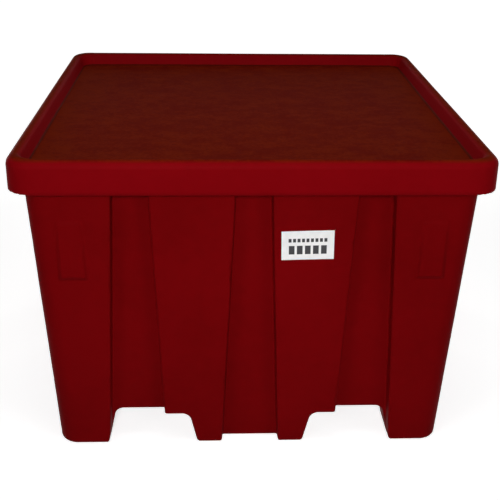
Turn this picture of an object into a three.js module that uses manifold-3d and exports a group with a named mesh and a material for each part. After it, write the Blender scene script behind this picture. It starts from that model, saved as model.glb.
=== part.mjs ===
// Bulk pallet box: a rotationally moulded polyethylene container on nine hollow feet, with a lift-off lid
// and one adhesive label. Millimetres, +Z up, origin on the floor under the middle of the box, front towards -Y.

import * as THREE from 'three';
import { mergeVertices } from 'three/addons/utils/BufferGeometryUtils.js';
import Module from 'manifold-3d';

const wasm = await Module();
wasm.setup();

// Container shell
const containerHeight = 795;
const baseWidth = 997;
const wallDraft = 2.33; // degrees, every wall leans outwards going up so that empty boxes nest
const wallThickness = 7;
const cornerRadius = 50;
const footEdgeRadius = 9;
const smallestFillet = 1;

// Upright flutes pressed into each wall, three to a side
const fluteDepth = 30;
const fluteBottomWidth = 148;
const fluteTopWidth = 82;
const fluteDraft = 4; // degrees, lean of the flute's side faces
const fluteSpacingBottom = 292;
const fluteSpacingTop = 284;
const fluteMouthRadius = 6;
const fluteRootRadius = 5;
const fluteRimBand = 47; // plain wall between the tops of the flutes and the rim
const fluteRunOut = 20; // height over which a flute fades out under the rim
const fluteEndDepth = 4;

// Fork channels, two each way under the floor
const forkChannelHeight = 91;
const forkChannelTopWidth = 190;
const forkChannelBottomWidth = 231;
const forkChannelSpacing = 507;
const forkChannelRadius = 18;

// Rim flange that carries the lid
const flangeOverhang = 21;
const flangeThickness = 9;
const flangeLipThickness = 7;
const flangeLipDrop = 26;

// Raised pads on the corner posts of the front and back. Their faces are plumb, so they stand out more going down.
const padWidth = 53;
const padHeight = 142;
const padTopRise = 1.6;
const padFlank = 12;
const padOffset = 425.5;
const padTopHeight = 641;

// Lid
const lidWall = 5;
const lidSkirtClearance = 3;
const lidPlugClearance = 3;
const lidSeatGap = 0.3;
const lidSkirtDrop = 81.5;
const lidSkirtDraft = 1;
const lidCornerRadius = 60;
const lidEdgeRadius = 22;
const lidTrayDepth = 36;
const lidTrayDraft = 2;
const lidTrayCornerRadius = 36;
const lidTrayEdgeRadius = 12;
const lidTrayRootRadius = 6;

// Label
const labelWidth = 124;
const labelHeight = 75;
const labelThickness = 0.4;
const labelGap = 0.3;
const labelCornerRadius = 1.5;
const labelTilt = 1.4; // degrees, stuck on by hand
const labelCentreX = 127.5;
const labelCentreHeight = 581;

const radians = THREE.MathUtils.degToRad;
const draftSlope = Math.tan(radians(wallDraft));
const fluteSlope = Math.tan(radians(fluteDraft));
const fluteSecant = 1 / Math.cos(radians(fluteDraft));
const cutOverrun = 30; // how far a cutting shape runs past what it cuts

const halfWidthAt = (z) => baseWidth / 2 + z * draftSlope;
const fluteTopHeight = containerHeight - fluteRimBand;

const red = { color: 0x7a0a0e, roughness: 0.55, metalness: 0 };
const white = { color: 0xf2f2f0, roughness: 0.4, metalness: 0 };

// A closed outline from its corners in turn, each { x, y, r }, with every corner rounded by an arc of `steps` chords.
function roundedOutline(corners, steps) {
  const outline = [];
  corners.forEach((corner, i) => {
    const before = corners[(i + corners.length - 1) % corners.length];
    const after = corners[(i + 1) % corners.length];
    outline.push(...roundedCorner(before, corner, after, corner.steps ?? steps));
  });
  return outline;
}

// The arc that rounds one corner of a path, as steps + 1 points.
function roundedCorner(before, corner, after, steps) {
  const at = new THREE.Vector2(corner.x, corner.y);
  const back = new THREE.Vector2(before.x, before.y).sub(at).normalize();
  const ahead = new THREE.Vector2(after.x, after.y).sub(at).normalize();
  const halfAngle = Math.acos(THREE.MathUtils.clamp(back.dot(ahead), -1, 1)) / 2;
  const bisector = back.clone().add(ahead).normalize();
  const centre = at.clone().addScaledVector(bisector, corner.r / Math.sin(halfAngle));
  const start = at.clone().addScaledVector(back, corner.r / Math.tan(halfAngle));
  const end = at.clone().addScaledVector(ahead, corner.r / Math.tan(halfAngle));
  const from = start.sub(centre).angle();
  let sweep = end.sub(centre).angle() - from;
  if (sweep > Math.PI) sweep -= 2 * Math.PI;
  if (sweep < -Math.PI) sweep += 2 * Math.PI;
  return Array.from({ length: steps + 1 }, (_, k) => {
    const angle = from + (sweep * k) / steps;
    return new THREE.Vector2(centre.x + corner.r * Math.cos(angle), centre.y + corner.r * Math.sin(angle));
  });
}

// A square outline with rounded corners, anticlockwise, at a height.
function squareRing(half, radius, z, steps) {
  const corners = [[1, 1], [-1, 1], [-1, -1], [1, -1]].map(([sx, sy]) => ({ x: sx * half, y: sy * half, r: radius }));
  return roundedOutline(corners, steps).map((p) => new THREE.Vector3(p.x, p.y, z));
}

// A closed skin over rings that all have the same number of points, with a flat cap on the first and last.
function loft(rings) {
  const count = rings[0].length;
  const positions = rings.flat().flatMap((p) => [p.x, p.y, p.z]);
  const faces = [];
  for (let level = 0; level < rings.length - 1; level++) {
    for (let i = 0; i < count; i++) {
      const a = level * count + i;
      const b = level * count + ((i + 1) % count);
      faces.push(a, b, b + count, a, b + count, a + count);
    }
  }
  const top = (rings.length - 1) * count;
  const cap = (ring) => THREE.ShapeUtils.triangulateShape(ring.map((p) => new THREE.Vector2(p.x, p.y)), []);
  for (const [a, b, c] of cap(rings[0])) faces.push(a, c, b);
  for (const [a, b, c] of cap(rings.at(-1))) faces.push(top + a, top + b, top + c);
  const geometry = new THREE.BufferGeometry();
  geometry.setAttribute('position', new THREE.Float32BufferAttribute(positions, 3));
  geometry.setIndex(faces);
  return geometry;
}

// A closed three.js geometry as a solid that can be joined and cut.
function solid(geometry) {
  const bare = geometry.clone();
  bare.deleteAttribute('normal');
  bare.deleteAttribute('uv');
  const merged = mergeVertices(bare, 1e-4);
  return new wasm.Manifold(
    new wasm.Mesh({
      numProp: 3,
      vertProperties: new Float32Array(merged.attributes.position.array),
      triVerts: new Uint32Array(merged.index.array),
    }),
  );
}

// A solid as a geometry that a mesh can show.
function shown(body) {
  const mesh = body.getMesh();
  const geometry = new THREE.BufferGeometry();
  geometry.setAttribute('position', new THREE.BufferAttribute(mesh.vertProperties, 3));
  geometry.setIndex(new THREE.BufferAttribute(mesh.triVerts, 1));
  geometry.computeVertexNormals();
  return geometry;
}

// Turns a flat drawing, x right and y up, onto the front wall: x stays, y runs up the wall and z points outwards.
function ontoFrontWall(geometry, x, height, outwards) {
  geometry.rotateX(Math.PI / 2 + radians(wallDraft));
  const lean = radians(wallDraft);
  return geometry.translate(
    x,
    -halfWidthAt(height) - outwards * Math.cos(lean),
    height - outwards * Math.sin(lean),
  );
}

function rectangleShape(width, height, radius) {
  const corners = [[1, 1], [-1, 1], [-1, -1], [1, -1]].map(([sx, sy]) => ({
    x: (sx * width) / 2,
    y: (sy * height) / 2,
    r: radius,
  }));
  return new THREE.Shape(roundedOutline(corners, 4));
}

// The fluted wall section at height z, drawn in by `inset` all round: the outside is inset 0 and the inside of the
// wall is inset by its thickness. One side is worked out and turned through the four quarters.
function flutedRing(z, inset, depth) {
  const share = z / fluteTopHeight;
  const mouth = THREE.MathUtils.lerp(fluteBottomWidth, fluteTopWidth, share) / 2;
  const spacing = THREE.MathUtils.lerp(fluteSpacingBottom, fluteSpacingTop, share);
  const face = halfWidthAt(z) - inset;
  const mouthHalf = mouth + inset * (fluteSecant - fluteSlope);
  const rootHalf = mouthHalf - depth * fluteSlope;
  const mouthRadius = Math.min(Math.max(fluteMouthRadius - inset, smallestFillet), depth * 0.45);
  const rootRadius = Math.min(fluteRootRadius + inset, depth * 0.95 - mouthRadius);
  const outlineSteps = 3;
  const cornerSteps = 6;
  const side = [];
  for (const centre of [spacing, 0, -spacing]) {
    side.push(
      { x: centre + mouthHalf, y: face, r: mouthRadius, steps: outlineSteps },
      { x: centre + rootHalf, y: face - depth, r: rootRadius, steps: outlineSteps },
      { x: centre - rootHalf, y: face - depth, r: rootRadius, steps: outlineSteps },
      { x: centre - mouthHalf, y: face, r: mouthRadius, steps: outlineSteps },
    );
  }
  side.push({ x: -face, y: face, r: cornerRadius - inset, steps: cornerSteps });
  const corners = [];
  let turned = side;
  for (let quarter = 0; quarter < 4; quarter++) {
    corners.push(...turned);
    turned = turned.map((c) => ({ ...c, x: -c.y, y: c.x }));
  }
  return roundedOutline(corners, outlineSteps).map((p) => new THREE.Vector3(p.x, p.y, z));
}

// The wall as a filled solid, fluted up to the run-out under the rim, with its bottom edge rounded.
function flutedBlock(bottom, inset, edgeRadius, rise) {
  const edgeSteps = 3;
  const rings = [];
  for (let k = 0; k <= edgeSteps; k++) {
    const angle = (k / edgeSteps) * (Math.PI / 2);
    const z = bottom + edgeRadius * (1 - Math.cos(angle));
    rings.push(flutedRing(z, inset + edgeRadius * (1 - Math.sin(angle)), fluteDepth));
  }
  rings.push(flutedRing(fluteTopHeight - fluteRunOut + rise, inset, fluteDepth));
  rings.push(flutedRing(fluteTopHeight + rise, inset, fluteEndDepth));
  return solid(loft(rings));
}

// One fork channel along Y as a cutter, grown by `grow` to leave the floor and the feet their wall.
function forkChannel(grow, edgeRadius) {
  const flank = (forkChannelBottomWidth - forkChannelTopWidth) / 2 / forkChannelHeight;
  const flankGrow = grow * Math.hypot(1, flank);
  const top = forkChannelHeight + grow;
  const halfAt = (z) => forkChannelBottomWidth / 2 - flank * z + flankGrow;
  const below = -cutOverrun;
  const corner = { x: halfAt(top), y: top, r: forkChannelRadius + grow };
  const mirrored = (c) => ({ ...c, x: -c.x });
  const foot = { x: halfAt(0), y: 0 };
  const outer = { x: halfAt(0) + cutOverrun, y: 0 };
  const right = [];
  if (edgeRadius > 0) {
    const lip = roundedCorner(outer, { ...foot, r: edgeRadius }, corner, 3);
    right.push(new THREE.Vector2(lip[0].x, below), ...lip);
  } else {
    right.push(new THREE.Vector2(halfAt(below), below));
  }
  right.push(...roundedCorner(foot, corner, mirrored(corner), 4));
  const left = right.map((p) => new THREE.Vector2(-p.x, p.y)).reverse();
  const length = 2 * halfWidthAt(containerHeight);
  const geometry = new THREE.ExtrudeGeometry(new THREE.Shape([...right, ...left]), {
    depth: length,
    bevelEnabled: false,
  });
  return geometry.translate(0, 0, -length / 2).rotateX(Math.PI / 2);
}

function forkChannels(grow, edgeRadius) {
  const cutters = [];
  for (const turn of [0, Math.PI / 2]) {
    for (const side of [-1, 1]) {
      const channel = forkChannel(grow, edgeRadius).translate((side * forkChannelSpacing) / 2, 0, 0);
      cutters.push(solid(channel.rotateZ(turn)));
    }
  }
  return cutters;
}

const rimHalf = halfWidthAt(containerHeight);
const flangeHalf = rimHalf + flangeOverhang;
const lidHalf = flangeHalf + lidSkirtClearance + lidWall;
const flangeCornerRadius = lidCornerRadius - lidWall - lidSkirtClearance;
const flangeEdgeRadius = lidEdgeRadius - lidWall;

// The flange turns outwards from the wall and down into a lip that stiffens the mouth.
function flange() {
  const steps = 6;
  const edgeSteps = 3;
  const rings = [squareRing(flangeHalf, flangeCornerRadius, containerHeight - flangeLipDrop, steps)];
  for (let k = 0; k <= edgeSteps; k++) {
    const angle = (k / edgeSteps) * (Math.PI / 2);
    const drawnIn = flangeEdgeRadius * (1 - Math.cos(angle));
    const z = containerHeight - flangeEdgeRadius * (1 - Math.sin(angle));
    rings.push(squareRing(flangeHalf - drawnIn, flangeCornerRadius - drawnIn, z, steps));
  }
  const underside = containerHeight - flangeThickness;
  const grooveHalf = flangeHalf - flangeLipThickness;
  const grooveRadius = flangeCornerRadius - flangeLipThickness;
  const groove = [
    squareRing(grooveHalf, grooveRadius, containerHeight - 2 * flangeLipDrop, steps),
    squareRing(grooveHalf, grooveRadius, underside, steps),
  ];
  return solid(loft(rings)).subtract(solid(loft(groove)));
}

// The plain band above the flutes, from below the run-out's end to above `top`.
function plainBand(bottom, top, inset) {
  const ring = (z) => squareRing(halfWidthAt(z) - inset, cornerRadius - inset, z, 6);
  return solid(loft([ring(bottom), ring(top)]));
}

// A pad is a low frustum with flanks at 45 degrees; what lies behind the wall's skin is cut away with the inside.
function pad(side) {
  const width = padWidth + 2 * padFlank;
  const height = padHeight + 2 * padFlank;
  const shape = new THREE.Shape([
    new THREE.Vector2(-width / 2, -height / 2),
    new THREE.Vector2(width / 2, -height / 2),
    new THREE.Vector2(width / 2, height / 2),
    new THREE.Vector2(-width / 2, height / 2),
  ]);
  const geometry = new THREE.ExtrudeGeometry(shape, {
    depth: padFlank,
    bevelEnabled: true,
    bevelOffset: -padFlank,
    bevelSize: padFlank,
    bevelThickness: padFlank,
    bevelSegments: 1,
  });
  const face = halfWidthAt(padTopHeight) + padTopRise;
  geometry.rotateX(Math.PI / 2);
  return geometry.translate(side * padOffset, 2 * padFlank - face, padTopHeight - padHeight / 2);
}

function container() {
  let outside = flutedBlock(0, 0, footEdgeRadius, 0);
  for (const cutter of forkChannels(0, footEdgeRadius)) outside = outside.subtract(cutter);
  outside = outside.add(plainBand(fluteTopHeight - 1, containerHeight - flangeThickness / 2, 0));
  outside = outside.add(flange());
  for (const turn of [0, Math.PI]) {
    for (const side of [-1, 1]) outside = outside.add(solid(pad(side).rotateZ(turn)));
  }
  const inset = wallThickness / Math.cos(radians(wallDraft));
  const runOutLean = Math.atan2(fluteDepth - fluteEndDepth, fluteRunOut);
  const rise = wallThickness * Math.tan(runOutLean / 2);
  let inside = flutedBlock(wallThickness, inset, footEdgeRadius, rise);
  for (const cutter of forkChannels(wallThickness, 0)) inside = inside.subtract(cutter);
  inside = inside.add(plainBand(fluteTopHeight + rise - 1, containerHeight + wallThickness, inset));
  return outside.subtract(inside);
}

// The lid is one even skin: a skirt outside the flange, a raised rim over it, and a sunken tray that plugs the mouth
// and takes the feet of the box stacked above.
function lid() {
  const top = containerHeight + lidSeatGap + lidWall;
  const plugHalf = rimHalf - wallThickness - lidPlugClearance;
  const trayHalf = plugHalf - lidWall;
  const skirtBottom = top - lidSkirtDrop;
  const lipRadius = lidWall / 2;
  const radiusAbove = (half) => {
    const share = (lidHalf - half) / (lidHalf - trayHalf);
    return THREE.MathUtils.lerp(lidCornerRadius, lidTrayCornerRadius, share);
  };
  const radiusBelow = (half) => {
    const share = (lidHalf - lidWall - half) / (lidHalf - lidWall - plugHalf);
    return THREE.MathUtils.lerp(lidCornerRadius - lidWall, lidTrayCornerRadius + lidWall, share);
  };
  const above = [
    { x: 0, y: top - lidTrayDepth },
    { x: trayHalf - lidTrayDraft, y: top - lidTrayDepth, r: lidTrayRootRadius, steps: 3 },
    { x: trayHalf, y: top, r: lidTrayEdgeRadius, steps: 4 },
    { x: lidHalf - lidSkirtDraft, y: top, r: lidEdgeRadius, steps: 5 },
    { x: lidHalf, y: skirtBottom, r: lipRadius * 0.98, steps: 2 },
    { x: lidHalf - lidWall, y: skirtBottom },
  ];
  const below = [
    { x: lidHalf, y: skirtBottom },
    { x: lidHalf - lidWall, y: skirtBottom, r: lipRadius * 0.98, steps: 2 },
    { x: lidHalf - lidSkirtDraft - lidWall, y: top - lidWall, r: lidEdgeRadius - lidWall, steps: 6 },
    { x: plugHalf, y: top - lidWall, r: lidPlugClearance - smallestFillet, steps: 3 },
    { x: plugHalf - lidTrayDraft, y: top - lidWall - lidTrayDepth, r: lidTrayRootRadius + lidWall, steps: 4 },
    { x: 0, y: top - lidWall - lidTrayDepth },
  ];
  const rounded = (path) =>
    path.slice(1, -1).flatMap((corner, i) => roundedCorner(path[i], corner, path[i + 2], corner.steps));
  const ringsAlong = (path, radiusOf) =>
    rounded(path).map((p) => squareRing(p.x, radiusOf(p.x), p.y, 8));
  const rings = [...ringsAlong(above, radiusAbove), ...ringsAlong(below, radiusBelow)];
  return solid(loft(rings.reverse()));
}

function label() {
  const geometry = new THREE.ExtrudeGeometry(rectangleShape(labelWidth, labelHeight, labelCornerRadius), {
    depth: labelThickness,
    bevelEnabled: false,
  });
  geometry.rotateZ(radians(labelTilt));
  return ontoFrontWall(geometry, labelCentreX, labelCentreHeight, labelGap);
}

function piece(name, geometry, finish) {
  const mesh = new THREE.Mesh(geometry, new THREE.MeshStandardMaterial(finish));
  mesh.name = name;
  return mesh;
}

const palletBox = new THREE.Group();
palletBox.add(piece('container', shown(container()), red));
palletBox.add(piece('lid', shown(lid()), red));
palletBox.add(piece('label', shown(solid(label())), white));

export default palletBox;
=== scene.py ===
import math

import bmesh
import bpy
import numpy as np
import openvdb
from mathutils import Matrix, Vector


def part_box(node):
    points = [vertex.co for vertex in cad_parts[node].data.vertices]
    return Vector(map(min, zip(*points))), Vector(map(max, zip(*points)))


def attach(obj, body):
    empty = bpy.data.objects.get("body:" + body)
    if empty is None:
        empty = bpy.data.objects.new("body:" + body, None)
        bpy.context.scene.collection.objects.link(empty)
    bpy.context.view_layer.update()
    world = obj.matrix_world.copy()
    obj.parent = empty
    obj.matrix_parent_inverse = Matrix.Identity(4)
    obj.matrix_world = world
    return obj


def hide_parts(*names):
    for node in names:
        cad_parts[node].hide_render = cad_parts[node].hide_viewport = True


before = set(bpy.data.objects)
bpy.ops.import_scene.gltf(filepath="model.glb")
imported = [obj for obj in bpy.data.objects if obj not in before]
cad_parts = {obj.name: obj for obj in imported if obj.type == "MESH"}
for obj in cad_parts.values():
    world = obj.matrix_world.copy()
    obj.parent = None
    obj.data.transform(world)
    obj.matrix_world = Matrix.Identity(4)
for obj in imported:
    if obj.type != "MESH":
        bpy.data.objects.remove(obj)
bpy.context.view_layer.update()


# The container is a single skin of polyethylene, moulded by turning powder in a hot mould, so every edge
# is round and the inside follows the outside. Its three flutes a side widen downwards, and four channels
# for pallet forks run right through under the floor and leave nine hollow feet.
container_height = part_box("container")[1][2]
flange_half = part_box("container")[1][0]
base_half = 0.4992
wall_lean = math.radians(2.33)
wall_slope = math.tan(wall_lean)
wall_thickness = 0.007
corner_radius = 0.050
foot_edge_radius = 0.009

flute_depth = 0.030
flute_half_width = (0.074, 0.041)
flute_spacing = (0.292, 0.284)
flute_top = 0.748
flute_lean = math.radians(4)
flute_run_out = 0.026
flute_mouth_radius = 0.004
flute_root_radius = 0.004

channel_height = 0.091
channel_half_width = (0.1155, 0.0950)
channel_offset = 0.2535
channel_roof_radius = 0.018
channel_edge_radius = 0.007

pad_size = (0.053, 0.142)
pad_offset = 0.4255
pad_top = 0.641
pad_top_rise = 0.0016
pad_root = 0.016
pad_edge_radius = 0.0025

flange_corner_radius = 0.052
flange_edge_radius = 0.017
flange_lip_drop = 0.026
flange_lip_thickness = 0.007
flange_thickness = 0.009
flange_root_radius = 0.003
flange_groove_radius = 0.001
mouth_edge_radius = 0.006
mouth_flare = 0.010
mouth_flare_heights = (0.750, 0.768)

slow_shrink = 0.0005
quick_shrink = 0.0002

skin_cell = 0.004
skin_adaptivity = 0.03
most_skin_triangles = 185000
weld_reach = skin_cell / 50
margin_cells = 3
slab_cells = 12
probe_step = 0.0004
settle_rounds = 3
least_slope_squared = 0.1


def round_max(a, b, radius):
    """The common part of two shapes, given by their distances, with its edge rounded."""
    corner = np.hypot(np.maximum(a + radius, 0), np.maximum(b + radius, 0))
    return np.minimum(-radius, np.maximum(a, b)) + corner


def round_min(a, b, radius):
    """Two shapes joined, with the inside corner between them rounded."""
    return -round_max(-a, -b, radius)


def square_distance(x, y, half, radius):
    """Distance to a square with rounded corners, negative inside."""
    across, along = abs(x) - half + radius, abs(y) - half + radius
    outside = np.hypot(np.maximum(across, 0), np.maximum(along, 0))
    return outside + np.minimum(np.maximum(across, along), 0) - radius


def mix_by(share, ends):
    return ends[0] + (ends[1] - ends[0]) * share


def shrink_wave(x, y, z):
    """How far a moulded wall draws in as it cools, unevenly and by a millimetre or so. Nought or less."""
    slow = np.sin(6.1 * x + 2.3 * y + 1.1) * np.sin(5.3 * z + 1.9 * x - 0.7 * y)
    quick = np.sin(13.7 * x - 11.2 * y + 9.1 * z + 0.4) * np.sin(10.3 * z + 2.1)
    return slow_shrink * (slow - 1) + quick_shrink * (quick - 1)


def face_at(z):
    """Half the width between opposite walls, which lean outwards and flare at the mouth, under the lid."""
    low, high = mouth_flare_heights
    share = np.clip((z - low) / (high - low), 0, 1)
    return base_half + z * wall_slope + mouth_flare * share**2 * (3 - 2 * share)


def fluted_body(x, y, z):
    """The outside of the tub with its flutes, feet and channels, as if it were solid and had no rim."""
    beside, ahead = np.minimum(abs(x), abs(y)), np.maximum(abs(x), abs(y))
    face = face_at(z)
    body = square_distance(x, y, face, corner_radius) - shrink_wave(x, y, z)
    share = z / flute_top
    inwards = face - ahead
    for centre in (0.0, mix_by(share, flute_spacing)):
        side = abs(beside - centre) - mix_by(share, flute_half_width) + inwards * math.tan(flute_lean)
        flute = round_max(side * math.cos(flute_lean), inwards - flute_depth, flute_root_radius)
        run_out = inwards / flute_depth + (z - flute_top + flute_run_out) / flute_run_out - 1
        steepness = math.hypot(1 / flute_depth, 1 / flute_run_out)
        flute = round_max(flute, run_out / steepness, flute_root_radius)
        body = round_max(body, -flute, flute_mouth_radius)
    body = round_max(body, -z, foot_edge_radius)
    flank = (channel_half_width[0] - channel_half_width[1]) / channel_height
    for across in (x, y):
        side = abs(abs(across) - channel_offset) - channel_half_width[0] + flank * z
        channel = round_max(side / math.hypot(1, flank), z - channel_height, channel_roof_radius)
        body = round_max(body, -channel, channel_edge_radius)
    return body


def wedge_pads(x, y, z):
    """The plumb pads on the corner posts of the front and back, with flanks at 45 degrees."""
    face = face_at(pad_top) + pad_top_rise
    forwards = abs(y) - face
    pads = np.maximum(forwards, -forwards - pad_root)
    for reach in (
        abs(abs(x) - pad_offset) - pad_size[0] / 2,
        abs(z - pad_top + pad_size[1] / 2) - pad_size[1] / 2,
    ):
        pads = round_max(pads, (reach + forwards) * math.sqrt(0.5), pad_edge_radius)
    return pads


def rim_flange(x, y, z):
    """The flange that turns out from the mouth and down into a lip."""
    plate = square_distance(x, y, flange_half, flange_corner_radius)
    plate = round_max(plate, z - container_height, flange_edge_radius)
    plate = np.maximum(plate, container_height - flange_lip_drop - z)
    groove_half = flange_half - flange_lip_thickness
    groove = square_distance(x, y, groove_half, flange_corner_radius - flange_lip_thickness)
    groove = np.maximum(groove, z - container_height + flange_thickness)
    return round_max(plate, -groove, flange_groove_radius)


def container_shape(x, y, z):
    body = fluted_body(x, y, z)
    outside = round_min(body, wedge_pads(x, y, z), pad_edge_radius)
    outside = round_min(outside, rim_flange(x, y, z), flange_root_radius)
    outside = np.maximum(outside, z - container_height)
    return round_max(outside, -(body + wall_thickness), mouth_edge_radius)


def slope_of(shape, points):
    """Value and gradient of a distance at points, by central differences."""
    step = probe_step
    x, y, z = points.T
    gradient = np.stack(
        [
            shape(x + step, y, z) - shape(x - step, y, z),
            shape(x, y + step, z) - shape(x, y - step, z),
            shape(x, y, z + step) - shape(x, y, z - step),
        ],
        axis=1,
    )
    return shape(x, y, z), gradient / (2 * step)


def settle(shape, points):
    """Moves points onto the surface where a distance is nought."""
    for _ in range(settle_rounds):
        value, gradient = slope_of(shape, points)
        slope_squared = np.maximum((gradient**2).sum(1), least_slope_squared)
        points = points - gradient * (value / slope_squared)[:, None]
    return points


def moulded_piece(name, shape, low, high):
    """A mesh of the surface where a distance is nought: dense on the curves and sparse on the flats."""
    reach = margin_cells * skin_cell
    low = np.asarray(low) - reach
    counts = np.ceil((np.asarray(high) + reach - low) / skin_cell).astype(int) + 1
    values = np.empty(counts, np.float32)
    xs, ys, zs = (start + skin_cell * np.arange(count) for start, count in zip(low, counts))
    for first in range(0, counts[2], slab_cells):
        slab = slice(first, first + slab_cells)
        values[:, :, slab] = shape(xs[:, None, None], ys[None, :, None], zs[slab])
    grid = openvdb.FloatGrid(float(reach))
    grid.copyFromArray(np.clip(values, -reach, reach))
    points, triangles, quads = grid.convertToPolygons(0.0, skin_adaptivity)
    points = settle(shape, points.astype(float) * skin_cell + low)
    mesh = bpy.data.meshes.new(name)
    faces = [face[::-1] for face in quads.tolist()] + [face[::-1] for face in triangles.tolist()]
    mesh.from_pydata(points.tolist(), [], faces)
    mesh.validate()
    shell = bmesh.new()
    shell.from_mesh(mesh)
    bmesh.ops.remove_doubles(shell, verts=shell.verts, dist=weld_reach)
    bmesh.ops.recalc_face_normals(shell, faces=shell.faces)
    shell.to_mesh(mesh)
    shell.free()
    piece = bpy.data.objects.new(name, mesh)
    bpy.context.scene.collection.objects.link(piece)
    thinning = piece.modifiers.new("thinning", "DECIMATE")
    triangle_count = len(mesh.loops) - 2 * len(mesh.polygons)
    thinning.ratio = min(1.0, most_skin_triangles / triangle_count)
    thinned = piece.evaluated_get(bpy.context.evaluated_depsgraph_get())
    piece.data = bpy.data.meshes.new_from_object(thinned)
    piece.modifiers.clear()
    bpy.data.meshes.remove(mesh)
    mesh = piece.data
    places = np.empty(len(mesh.vertices) * 3)
    mesh.vertices.foreach_get("co", places)
    places = settle(shape, places.reshape(-1, 3))
    mesh.vertices.foreach_set("co", places.ravel())
    mesh.update()
    mesh.shade_smooth()
    _, normals = slope_of(shape, places)
    normals /= np.linalg.norm(normals, axis=1, keepdims=True)
    mesh.normals_split_custom_set_from_vertices(normals.tolist())
    return piece


class Shade:
    """A shader socket that can stand in Python expressions."""

    def __init__(self, tree, socket=None):
        self.tree = tree
        self.socket = socket

    def node(self, kind, settings=None, inputs=None, out=0):
        made = self.tree.nodes.new(kind)
        for key, setting in (settings or {}).items():
            setattr(made, key, setting)
        for key, given in (inputs or {}).items():
            if isinstance(given, Shade):
                self.tree.links.new(given.socket, made.inputs[key])
            else:
                made.inputs[key].default_value = given
        return Shade(self.tree, made.outputs[out])

    def maths(self, operation, first, second):
        return self.node("ShaderNodeMath", {"operation": operation}, {0: first, 1: second})

    def __add__(self, other):
        return self.maths("ADD", self, other)

    def __sub__(self, other):
        return self.maths("SUBTRACT", self, other)

    def __rsub__(self, other):
        return self.maths("SUBTRACT", other, self)

    def __mul__(self, other):
        return self.maths("MULTIPLY", self, other)

    __radd__ = __add__
    __rmul__ = __mul__

    def size(self):
        return self.node("ShaderNodeMath", {"operation": "ABSOLUTE"}, {0: self})

    def along(self, axis):
        return self.node("ShaderNodeSeparateXYZ", None, {0: self}, out=axis)

    def between(self, low, high):
        """0 below low, 1 above high and smooth between."""
        settings = {"interpolation_type": "SMOOTHSTEP"}
        return self.node("ShaderNodeMapRange", settings, {"Value": self, "From Min": low, "From Max": high})

    def colours(self, below, above):
        """Goes from one colour to another as this value goes from 0 to 1."""
        settings = {"data_type": "RGBA", "clamp_factor": True}
        return self.node("ShaderNodeMix", settings, {0: self, 6: below, 7: above}, out=2)

    def noise(self, place, scale, detail=4.0, roughness=0.55):
        inputs = {"Vector": place, "Scale": scale, "Detail": detail, "Roughness": roughness}
        return self.node("ShaderNodeTexNoise", None, inputs)

    def stretched(self, place, factors):
        return self.node("ShaderNodeVectorMath", {"operation": "MULTIPLY"}, {0: place, 1: factors})


def new_material(name):
    material = bpy.data.materials.new(name)
    material.use_nodes = True
    material.node_tree.nodes.clear()
    return material, Shade(material.node_tree)


def finish_material(start, surface):
    output = start.tree.nodes.new("ShaderNodeOutputMaterial")
    start.tree.links.new(surface.socket, output.inputs["Surface"])


def rgb(red, green, blue):
    return (red, green, blue, 1.0)


dusty_slopes = (0.62, 1.0)
# Painted shade in creases: the slopes and the nearly level floors between which a fillet gets it, and how
# fast it fades upwards.
crease_slopes = (0.38, 0.60)
crease_floors = (0.93, 0.998)
crease_fade = 0.004
trodden_sides = (0.34, 0.54)
worn_levels = (0.43, 0.60)
cloud_levels = (0.34, 0.66)
scuff_levels = (0.62, 0.72)
plastic_sheen = 0.010
peel_depth = 0.0005


def polyethylene(name, light, dark, film, film_patch, film_strength, crease_shade, crease_shade_height):
    """Coloured through, satin, with a faint orange peel. What faces up holds dust, worn off in patches, and
    the crease at the foot of a slope, up to a height, is darkened with painted shade."""
    material, start = new_material(name)
    place = start.node("ShaderNodeTexCoord", out="Object")
    cloud = start.noise(place, 3.1, 5.0)
    mottle = start.noise(place, 38.0, 3.0)
    body = (cloud * 0.7 + mottle * 0.3).between(*cloud_levels).colours(dark, light)
    upwards = start.node("ShaderNodeNewGeometry", out="Normal").along("Z")
    streaks = start.noise(start.stretched(place, (1.0, 1.4, 1.4)), 13.0, 9.0, 0.78)
    specks = start.noise(place, 120.0, 3.0, 0.7)
    trodden = place.along("X").size().between(*trodden_sides)
    worn = (streaks * 0.65 + specks * 0.35 + trodden * 0.06).between(*worn_levels)
    dust = worn.colours(film, film_patch)
    settled = upwards.between(*dusty_slopes) * film_strength
    # Painted shade: the fillet at the foot of a slope, below a height, is darkened towards a crease colour in
    # place of the shade that falls there.
    in_fillet = upwards.between(*crease_slopes) - upwards.between(*crease_floors)
    low_down = 1 - place.along("Z").between(crease_shade_height, crease_shade_height + crease_fade)
    crease = in_fillet * low_down * film_strength
    colour = crease.colours(settled.colours(body, dust), crease_shade)
    scuffs = start.noise(start.stretched(place, (9.0, 9.0, 1.3)), 4.0, 8.0, 0.75)
    rubbed = scuffs.between(*scuff_levels)
    peel = start.noise(place, 260.0, 2.0, 0.5) * 0.6 + start.noise(place, 70.0, 2.0, 0.5)
    bumped = start.node("ShaderNodeBump", None, {"Strength": 0.25, "Distance": peel_depth, "Height": peel})
    surface = start.node(
        "ShaderNodeBsdfPrincipled",
        None,
        {
            "Base Color": colour,
            "Roughness": 0.46 + mottle * 0.12 + rubbed * 0.1 + settled * 0.2,
            "Specular IOR Level": plastic_sheen,
            "Normal": bumped,
        },
    )
    finish_material(start, surface)
    return material


container_red = polyethylene(
    "container_red",
    light=rgb(0.166, 0.0012, 0.0024),
    dark=rgb(0.140, 0.0010, 0.0018),
    film=rgb(0.120, 0.0060, 0.0010),
    film_patch=rgb(0.132, 0.0130, 0.0012),
    film_strength=0.6,
    # Painted shade for creases at the foot of slopes, here only at the very bottom.
    crease_shade=rgb(0.080, 0.0060, 0.0010),
    crease_shade_height=0.0,
)
container = moulded_piece(
    "moulded_container",
    container_shape,
    (-flange_half, -flange_half, 0.0),
    (flange_half, flange_half, container_height),
)
container.data.materials.append(container_red)
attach(container, "root")
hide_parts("container")


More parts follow.
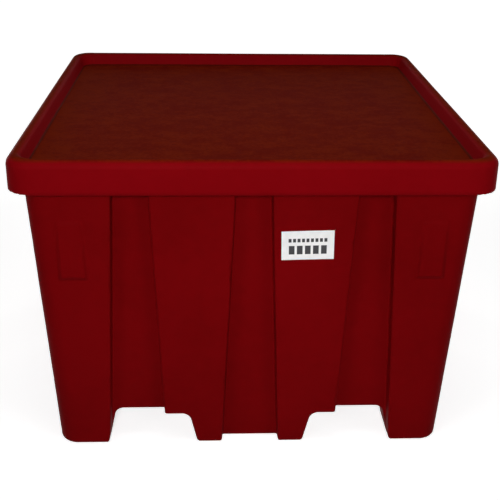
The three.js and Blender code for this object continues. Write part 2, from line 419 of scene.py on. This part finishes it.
# The lid is a second moulding that drops over the flange. It has a skirt, a raised rim rolled round at its
# edges, and a flat tray sunk inside the rim, where the feet of the next box stand. Dust lies in the tray.
lid_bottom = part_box("lid")[0][2]
lid_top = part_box("lid")[1][2]
lid_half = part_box("lid")[1][0]
lid_wall = 0.005
lid_corner_radius = 0.060
lid_edge_radius = 0.022
lid_skirt_draft = 0.001
tray_depth = 0.036
tray_half = 0.532
tray_lean = math.radians(20)
tray_corner_radius = 0.049
tray_edge_radius = 0.012
tray_root_radius = 0.004
tray_shrink_factor = 1.5
skirt_lip_radius = 0.0025


def lid_outside(x, y, z):
    """The lid's upper side, as if all below it were solid."""
    below_top = lid_top - z
    skirt = square_distance(x, y, lid_half, lid_corner_radius) - shrink_wave(x, y, z)
    skirt = skirt + lid_skirt_draft * (1 - below_top / (lid_top - lid_bottom))
    block = round_max(skirt, -below_top, lid_edge_radius)
    hollow = square_distance(x, y, tray_half, tray_corner_radius) + below_top * math.tan(tray_lean)
    floor = below_top - tray_depth + tray_shrink_factor * shrink_wave(y, x, z)
    tray = round_max(hollow * math.cos(tray_lean), floor, tray_root_radius)
    return round_max(block, -tray, tray_edge_radius)


def lid_shape(x, y, z):
    outside = lid_outside(x, y, z)
    skin = np.maximum(outside, -(outside + lid_wall))
    return round_max(skin, lid_bottom - z, skirt_lip_radius)


lid_red = polyethylene(
    "lid_red",
    light=rgb(0.198, 0.0012, 0.0034),
    dark=rgb(0.178, 0.0010, 0.0028),
    film=rgb(0.098, 0.0035, 0.0008),
    film_patch=rgb(0.134, 0.0095, 0.0010),
    film_strength=1.0,
    # Painted shade for the crease round the foot of the tray's slopes.
    crease_shade=rgb(0.062, 0.0035, 0.0008),
    crease_shade_height=lid_top - tray_depth + tray_root_radius,
)
lid = moulded_piece(
    "moulded_lid",
    lid_shape,
    (-lid_half, -lid_half, lid_bottom),
    (lid_half, lid_half, lid_top),
)
lid.data.materials.append(lid_red)
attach(lid, "root")
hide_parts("lid")


# The label is a white plastic film, stuck on the panel right of the middle flute and a little out of level.
# It is plain, with one row of small dark blocks and one of large ones printed on it.
label_low, label_high = (Vector(corner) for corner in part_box("label"))
label_centre = (label_low + label_high) / 2
label_size = (0.124, 0.075)
label_thickness = 0.0004
label_gap = 0.0003
label_tilt = math.radians(1.4)
label_curl = 0.0006
label_columns, label_rows = 32, 20
print_reach = 0.047
side_blur, edge_blur = 0.0006, 0.0004


def label_mesh():
    """A thin closed sheet, x along the label, y up it and z off the wall, with corners that lift slightly."""
    sheet = bmesh.new()
    bmesh.ops.create_grid(sheet, x_segments=label_columns, y_segments=label_rows, size=0.5)
    for vertex in sheet.verts:
        across, up = vertex.co.x * 2, vertex.co.y * 2
        lift = label_curl * (across * up) ** 6
        vertex.co = Vector((across * label_size[0] / 2, up * label_size[1] / 2, lift))
    made = bmesh.ops.extrude_face_region(sheet, geom=sheet.faces[:])
    for element in made["geom"]:
        if isinstance(element, bmesh.types.BMVert):
            element.co.z += label_thickness
    bmesh.ops.recalc_face_normals(sheet, faces=sheet.faces)
    mesh = bpy.data.meshes.new("film_label")
    sheet.to_mesh(mesh)
    sheet.free()
    return mesh


def label_film():
    """Printed white film: the print is worked out from the place on the label."""
    material, start = new_material("label_film")
    place = start.node("ShaderNodeTexCoord", out="Object")
    across = place.along("X") - label_centre.x
    up = place.along("Z") - label_centre.z
    right = across * math.cos(label_tilt) + up * math.sin(label_tilt)
    above = up * math.cos(label_tilt) - across * math.sin(label_tilt)

    def within(away, half, blur=edge_blur):
        return 1 - away.between(half, half + blur)

    def block_row(spacing, half_width, middle, half_height):
        from_block = start.maths("PINGPONG", right, spacing / 2)
        band = within((above - middle).size(), half_height) * within(right.size(), print_reach)
        return within(from_block, half_width, side_blur) * band

    small_row = block_row(spacing=0.0105, half_width=0.0032, middle=0.0130, half_height=0.0045)
    large_row = block_row(spacing=0.0190, half_width=0.0064, middle=-0.0120, half_height=0.0110)
    print_mask = small_row + large_row
    grain = start.noise(place, 55.0, 4.0)
    film = grain.between(0.3, 0.7).colours(rgb(0.84, 0.84, 0.83), rgb(0.90, 0.90, 0.89))
    ink = rgb(0.022, 0.022, 0.024)
    bumped = start.node(
        "ShaderNodeBump",
        None,
        {"Strength": 0.2, "Distance": 0.0003, "Height": start.noise(place, 420.0, 2.0)},
    )
    surface = start.node(
        "ShaderNodeBsdfPrincipled",
        None,
        {"Base Color": print_mask.colours(film, ink), "Roughness": 0.42 + grain * 0.1, "Normal": bumped},
    )
    finish_material(start, surface)
    return material


label = bpy.data.objects.new("film_label", label_mesh())
bpy.context.scene.collection.objects.link(label)
label_wall = face_at(label_centre.z) + label_gap
upright = Matrix.Rotation(math.pi / 2 + wall_lean, 4, "X")
label.data.transform(upright @ Matrix.Rotation(label_tilt, 4, "Z"))
label.data.transform(Matrix.Translation((label_centre.x, -label_wall, label_centre.z)))
for vertex in label.data.vertices:
    vertex.co.y -= shrink_wave(*vertex.co)
label.data.materials.append(label_film())
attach(label, "root")
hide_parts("label")


# The floor and the surroundings are plain white, and the floor keeps the box's soft shadow. It is matt, with
# a glow that only the camera and mirror-like surfaces see, full where the lamps' light has faded out.
floor_size = 60.0
floor_white = 0.86
near_glow = 0.69
lit_reach = (0.9, 3.5)
ambient = 0.07


def seen_directly(start):
    """1 where the camera looks, by itself or through a reflection or a clear piece, and 0 for soft light."""
    path = "ShaderNodeLightPath"
    seen = start.node(path, out="Is Camera Ray") + start.node(path, out="Is Glossy Ray")
    return (seen + start.node(path, out="Is Transmission Ray")).between(0.0, 1.0)


def white_floor():
    material, start = new_material("white_floor")
    matt = start.node("ShaderNodeBsdfDiffuse", None, {"Color": rgb(floor_white, floor_white, floor_white)})
    place = start.node("ShaderNodeTexCoord", out="Object")
    away = start.node("ShaderNodeVectorMath", {"operation": "LENGTH"}, {0: place}, out="Value")
    near, far = (
        start.node("ShaderNodeEmission", None, {"Color": rgb(1, 1, 1), "Strength": strength})
        for strength in (near_glow, 1.0)
    )
    glow = start.node("ShaderNodeMixShader", None, {0: away.between(*lit_reach), 1: near, 2: far})
    lit = start.node("ShaderNodeAddShader", None, {0: matt, 1: glow})
    shown = start.node("ShaderNodeMixShader", None, {0: seen_directly(start), 1: matt, 2: lit})
    finish_material(start, shown)
    return material


floor_mesh = bpy.data.meshes.new("floor")
floor_corners = [(-1, -1), (1, -1), (1, 1), (-1, 1)]
floor_points = [(x * floor_size / 2, y * floor_size / 2, 0.0) for x, y in floor_corners]
floor_mesh.from_pydata(floor_points, [], [(0, 1, 2, 3)])
floor = bpy.data.objects.new("floor", floor_mesh)
floor_mesh.materials.append(white_floor())
bpy.context.scene.collection.objects.link(floor)

world = bpy.data.worlds.new("white_surroundings")
world.use_nodes = True
world.node_tree.nodes.clear()
sky = Shade(world.node_tree)
sky_strength = seen_directly(sky) * (1 - ambient) + ambient
sky_light = sky.node("ShaderNodeBackground", None, {"Color": rgb(1, 1, 1), "Strength": sky_strength})
world_output = world.node_tree.nodes.new("ShaderNodeOutputWorld")
world.node_tree.links.new(sky_light.socket, world_output.inputs["Surface"])
bpy.context.scene.world = world


# The front lamp hangs almost on the camera's line, so its shadows hide behind the box. A weaker one overhead
# lights the tray, two that cross lighten the flutes' flanks, and two low ones light the back.
def soft_lamp(name, place, target, size, spread, power):
    lamp = bpy.data.lights.new(name, "AREA")
    lamp.shape = "DISK"
    lamp.size = size
    lamp.spread = math.radians(spread)
    lamp.energy = power
    holder = bpy.data.objects.new(name, lamp)
    holder.location = place
    holder.rotation_euler = (Vector(target) - Vector(place)).to_track_quat("-Z", "Y").to_euler()
    bpy.context.scene.collection.objects.link(holder)


soft_lamp("front_lamp", (-0.2, -4.2, 2.3), (0.0, -0.56, 0.66), size=0.8, spread=55, power=9.2)
soft_lamp("top_lamp", (0.0, -0.8, 3.8), (0.0, -0.1, 0.8), size=1.6, spread=60, power=3.3)
for side in (-1, 1):
    cross_place, cross_target = (side * 2.4, -2.8, 1.7), (-side * 0.28, -0.5, 0.72)
    soft_lamp(f"cross_lamp_{side}", cross_place, cross_target, size=1.6, spread=22, power=1.15)
    back_place, back_target = (side * 2.4, 3.2, 0.5), (side * 0.1, 0.3, 0.45)
    soft_lamp(f"back_lamp_{side}", back_place, back_target, size=0.7, spread=40, power=3.0)


# The camera stands where the photograph's perspective puts it.
camera_place = Vector((-0.089, -2.388, 1.432))
camera_yaw = math.radians(2.48)
camera_pitch = math.radians(24.80)
camera_roll = math.radians(0.86)
focal_pixels = 877
frame_pixels = 500

forward = Vector(
    (
        math.sin(camera_yaw) * math.cos(camera_pitch),
        math.cos(camera_yaw) * math.cos(camera_pitch),
        -math.sin(camera_pitch),
    )
)
level_right = Vector((math.cos(camera_yaw), -math.sin(camera_yaw), 0))
level_up = level_right.cross(forward)
right = math.cos(camera_roll) * level_right + math.sin(camera_roll) * level_up
upwards = math.cos(camera_roll) * level_up - math.sin(camera_roll) * level_right
camera_data = bpy.data.cameras.new("camera")
camera_data.sensor_width = 36.0
camera_data.lens = camera_data.sensor_width * focal_pixels / frame_pixels
camera = bpy.data.objects.new("camera", camera_data)
turn = Matrix((right, upwards, -forward)).transposed()
camera.matrix_world = Matrix.Translation(camera_place) @ turn.to_4x4()
bpy.context.scene.collection.objects.link(camera)
bpy.context.scene.camera = camera

bpy.context.scene.view_settings.view_transform = "Standard"
